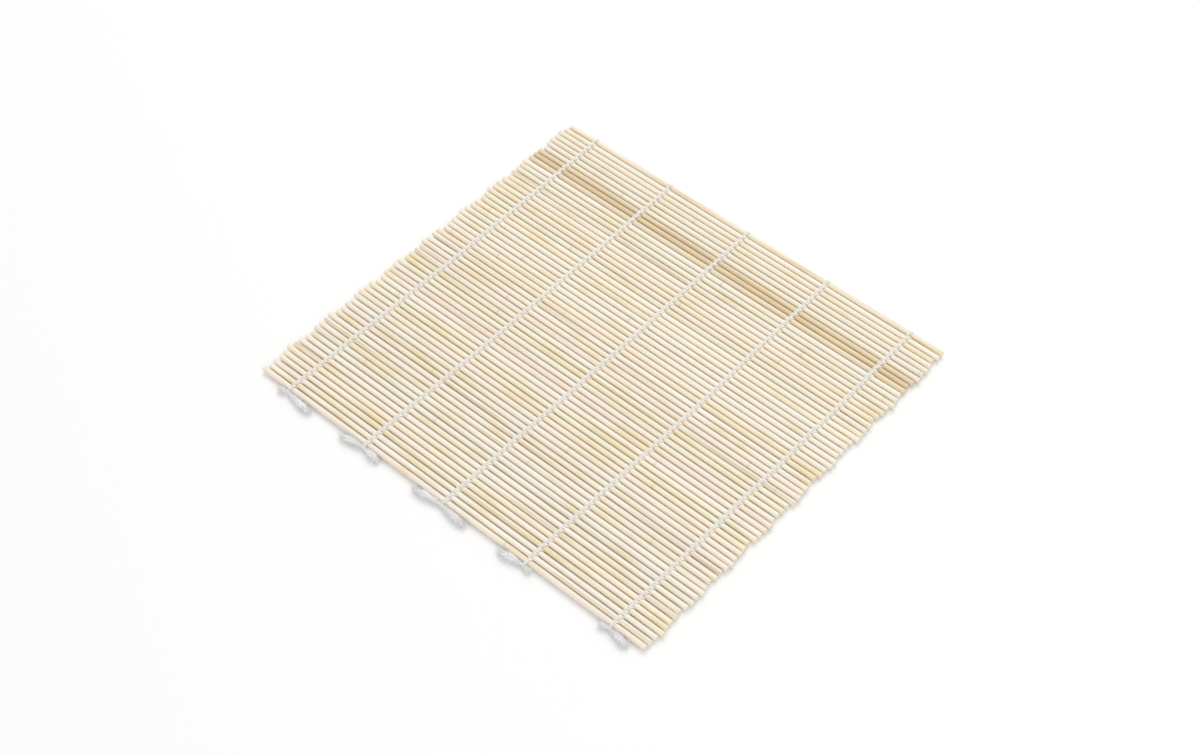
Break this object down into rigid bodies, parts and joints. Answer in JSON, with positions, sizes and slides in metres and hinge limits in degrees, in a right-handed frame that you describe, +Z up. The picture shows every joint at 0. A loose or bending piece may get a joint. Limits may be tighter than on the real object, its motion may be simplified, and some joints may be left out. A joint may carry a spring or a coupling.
{
  "type": "sushi rolling mat",
  "caption": "Rectangular rolling mat of thin round bamboo slats, laced side by side with twined cotton strings, so it lies flat or rolls up parallel to its slats.",
  "frame": {"origin": "Centre of the mat's footprint, thread ends included, on the surface it lies on.", "axes": "X runs along the slats, Y runs along the strings from the knotted edge at -Y to the plain edge at +Y, and Z is up."},
  "size_m": [0.24, 0.2258, 0.0041],
  "materials": {
    "bamboo": "bare split bamboo, sanded smooth, with a soft sheen and faint lengthwise grain",
    "cotton_string": "matte undyed two-ply cotton thread",
    "frayed_cotton": "matte loose cotton fibres at cut thread ends"
  },
  "bodies": {
    "knotted_edge_leaf": {"slats_01": "bamboo", "lashing_01": "cotton_string", "end_knots": "cotton_string", "thread_tails": "frayed_cotton"},
    "leaf_02": {"slats_02": "bamboo", "lashing_02": "cotton_string"},
    "leaf_03": {"slats_03": "bamboo", "lashing_03": "cotton_string"},
    "leaf_04": {"slats_04": "bamboo", "lashing_04": "cotton_string"},
    "leaf_05": {"slats_05": "bamboo", "lashing_05": "cotton_string"},
    "leaf_06": {"slats_06": "bamboo", "lashing_06": "cotton_string"},
    "leaf_07": {"slats_07": "bamboo", "lashing_07": "cotton_string"},
    "leaf_08": {"slats_08": "bamboo", "lashing_08": "cotton_string"},
    "leaf_09": {"slats_09": "bamboo", "lashing_09": "cotton_string"},
    "leaf_10": {"slats_10": "bamboo", "lashing_10": "cotton_string"},
    "leaf_11": {"slats_11": "bamboo", "lashing_11": "cotton_string"},
    "leaf_12": {"slats_12": "bamboo", "lashing_12": "cotton_string"},
    "leaf_13": {"slats_13": "bamboo", "lashing_13": "cotton_string"},
    "leaf_14": {"slats_14": "bamboo", "lashing_14": "cotton_string"},
    "leaf_15": {"slats_15": "bamboo", "lashing_15": "cotton_string"},
    "leaf_16": {"slats_16": "bamboo", "lashing_16": "cotton_string"},
    "leaf_17": {"slats_17": "bamboo", "lashing_17": "cotton_string"},
    "leaf_18": {"slats_18": "bamboo", "lashing_18": "cotton_string"},
    "leaf_19": {"slats_19": "bamboo", "lashing_19": "cotton_string"},
    "leaf_20": {"slats_20": "bamboo", "lashing_20": "cotton_string"},
    "leaf_21": {"slats_21": "bamboo", "lashing_21": "cotton_string"},
    "leaf_22": {"slats_22": "bamboo", "lashing_22": "cotton_string"},
    "leaf_23": {"slats_23": "bamboo", "lashing_23": "cotton_string"},
    "leaf_24": {"slats_24": "bamboo", "lashing_24": "cotton_string"},
    "leaf_25": {"slats_25": "bamboo", "lashing_25": "cotton_string"},
    "leaf_26": {"slats_26": "bamboo", "lashing_26": "cotton_string"},
    "leaf_27": {"slats_27": "bamboo", "lashing_27": "cotton_string"},
    "leaf_28": {"slats_28": "bamboo", "lashing_28": "cotton_string"},
    "plain_edge_leaf": {"slats_29": "bamboo", "lashing_29": "cotton_string"}
  },
  "joints": [
    {"name": "fold_01", "type": "hinge", "parent": "knotted_edge_leaf", "child": "leaf_02", "pos_m": [0, -0.09819, 0.002], "axis": [1, 0, 0], "range_deg": [-27, 27]},
    {"name": "fold_02", "type": "hinge", "parent": "leaf_02", "child": "leaf_03", "pos_m": [0, -0.08799, 0.002], "axis": [1, 0, 0], "range_deg": [-27.5, 27.5]},
    {"name": "fold_03", "type": "hinge", "parent": "leaf_03", "child": "leaf_04", "pos_m": [0, -0.07779, 0.002], "axis": [1, 0, 0], "range_deg": [-28.1, 28.1]},
    {"name": "fold_04", "type": "hinge", "parent": "leaf_04", "child": "leaf_05", "pos_m": [0, -0.06759, 0.002], "axis": [1, 0, 0], "range_deg": [-28.6, 28.6]},
    {"name": "fold_05", "type": "hinge", "parent": "leaf_05", "child": "leaf_06", "pos_m": [0, -0.05739, 0.002], "axis": [1, 0, 0], "range_deg": [-29.2, 29.2]},
    {"name": "fold_06", "type": "hinge", "parent": "leaf_06", "child": "leaf_07", "pos_m": [0, -0.04719, 0.002], "axis": [1, 0, 0], "range_deg": [-29.9, 29.9]},
    {"name": "fold_07", "type": "hinge", "parent": "leaf_07", "child": "leaf_08", "pos_m": [0, -0.03699, 0.002], "axis": [1, 0, 0], "range_deg": [-25.3, 25.3]},
    {"name": "fold_08", "type": "hinge", "parent": "leaf_08", "child": "leaf_09", "pos_m": [0, -0.03019, 0.002], "axis": [1, 0, 0], "range_deg": [-20.6, 20.6]},
    {"name": "fold_09", "type": "hinge", "parent": "leaf_09", "child": "leaf_10", "pos_m": [0, -0.02339, 0.002], "axis": [1, 0, 0], "range_deg": [-20.9, 20.9]},
    {"name": "fold_10", "type": "hinge", "parent": "leaf_10", "child": "leaf_11", "pos_m": [0, -0.01659, 0.002], "axis": [1, 0, 0], "range_deg": [-21.2, 21.2]},
    {"name": "fold_11", "type": "hinge", "parent": "leaf_11", "child": "leaf_12", "pos_m": [0, -0.00979, 0.002], "axis": [1, 0, 0], "range_deg": [-21.6, 21.6]},
    {"name": "fold_12", "type": "hinge", "parent": "leaf_12", "child": "leaf_13", "pos_m": [0, -0.00299, 0.002], "axis": [1, 0, 0], "range_deg": [-22, 22]},
    {"name": "fold_13", "type": "hinge", "parent": "leaf_13", "child": "leaf_14", "pos_m": [0, 0.00381, 0.002], "axis": [1, 0, 0], "range_deg": [-22.4, 22.4]},
    {"name": "fold_14", "type": "hinge", "parent": "leaf_14", "child": "leaf_15", "pos_m": [0, 0.01061, 0.002], "axis": [1, 0, 0], "range_deg": [-22.8, 22.8]},
    {"name": "fold_15", "type": "hinge", "parent": "leaf_15", "child": "leaf_16", "pos_m": [0, 0.01741, 0.002], "axis": [1, 0, 0], "range_deg": [-23.3, 23.3]},
    {"name": "fold_16", "type": "hinge", "parent": "leaf_16", "child": "leaf_17", "pos_m": [0, 0.02421, 0.002], "axis": [1, 0, 0], "range_deg": [-23.8, 23.8]},
    {"name": "fold_17", "type": "hinge", "parent": "leaf_17", "child": "leaf_18", "pos_m": [0, 0.03101, 0.002], "axis": [1, 0, 0], "range_deg": [-24.3, 24.3]},
    {"name": "fold_18", "type": "hinge", "parent": "leaf_18", "child": "leaf_19", "pos_m": [0, 0.03781, 0.002], "axis": [1, 0, 0], "range_deg": [-24.9, 24.9]},
    {"name": "fold_19", "type": "hinge", "parent": "leaf_19", "child": "leaf_20", "pos_m": [0, 0.04461, 0.002], "axis": [1, 0, 0], "range_deg": [-25.4, 25.4]},
    {"name": "fold_20", "type": "hinge", "parent": "leaf_20", "child": "leaf_21", "pos_m": [0, 0.05141, 0.002], "axis": [1, 0, 0], "range_deg": [-26.1, 26.1]},
    {"name": "fold_21", "type": "hinge", "parent": "leaf_21", "child": "leaf_22", "pos_m": [0, 0.05821, 0.002], "axis": [1, 0, 0], "range_deg": [-26.8, 26.8]},
    {"name": "fold_22", "type": "hinge", "parent": "leaf_22", "child": "leaf_23", "pos_m": [0, 0.06501, 0.002], "axis": [1, 0, 0], "range_deg": [-27.5, 27.5]},
    {"name": "fold_23", "type": "hinge", "parent": "leaf_23", "child": "leaf_24", "pos_m": [0, 0.07181, 0.002], "axis": [1, 0, 0], "range_deg": [-28.3, 28.3]},
    {"name": "fold_24", "type": "hinge", "parent": "leaf_24", "child": "leaf_25", "pos_m": [0, 0.07861, 0.002], "axis": [1, 0, 0], "range_deg": [-29.2, 29.2]},
    {"name": "fold_25", "type": "hinge", "parent": "leaf_25", "child": "leaf_26", "pos_m": [0, 0.08541, 0.002], "axis": [1, 0, 0], "range_deg": [-30.2, 30.2]},
    {"name": "fold_26", "type": "hinge", "parent": "leaf_26", "child": "leaf_27", "pos_m": [0, 0.09221, 0.002], "axis": [1, 0, 0], "range_deg": [-31.3, 31.3]},
    {"name": "fold_27", "type": "hinge", "parent": "leaf_27", "child": "leaf_28", "pos_m": [0, 0.09901, 0.002], "axis": [1, 0, 0], "range_deg": [-32.5, 32.5]},
    {"name": "fold_28", "type": "hinge", "parent": "leaf_28", "child": "plain_edge_leaf", "pos_m": [0, 0.10581, 0.002], "axis": [1, 0, 0], "range_deg": [-33.9, 33.9]}
  ]
}
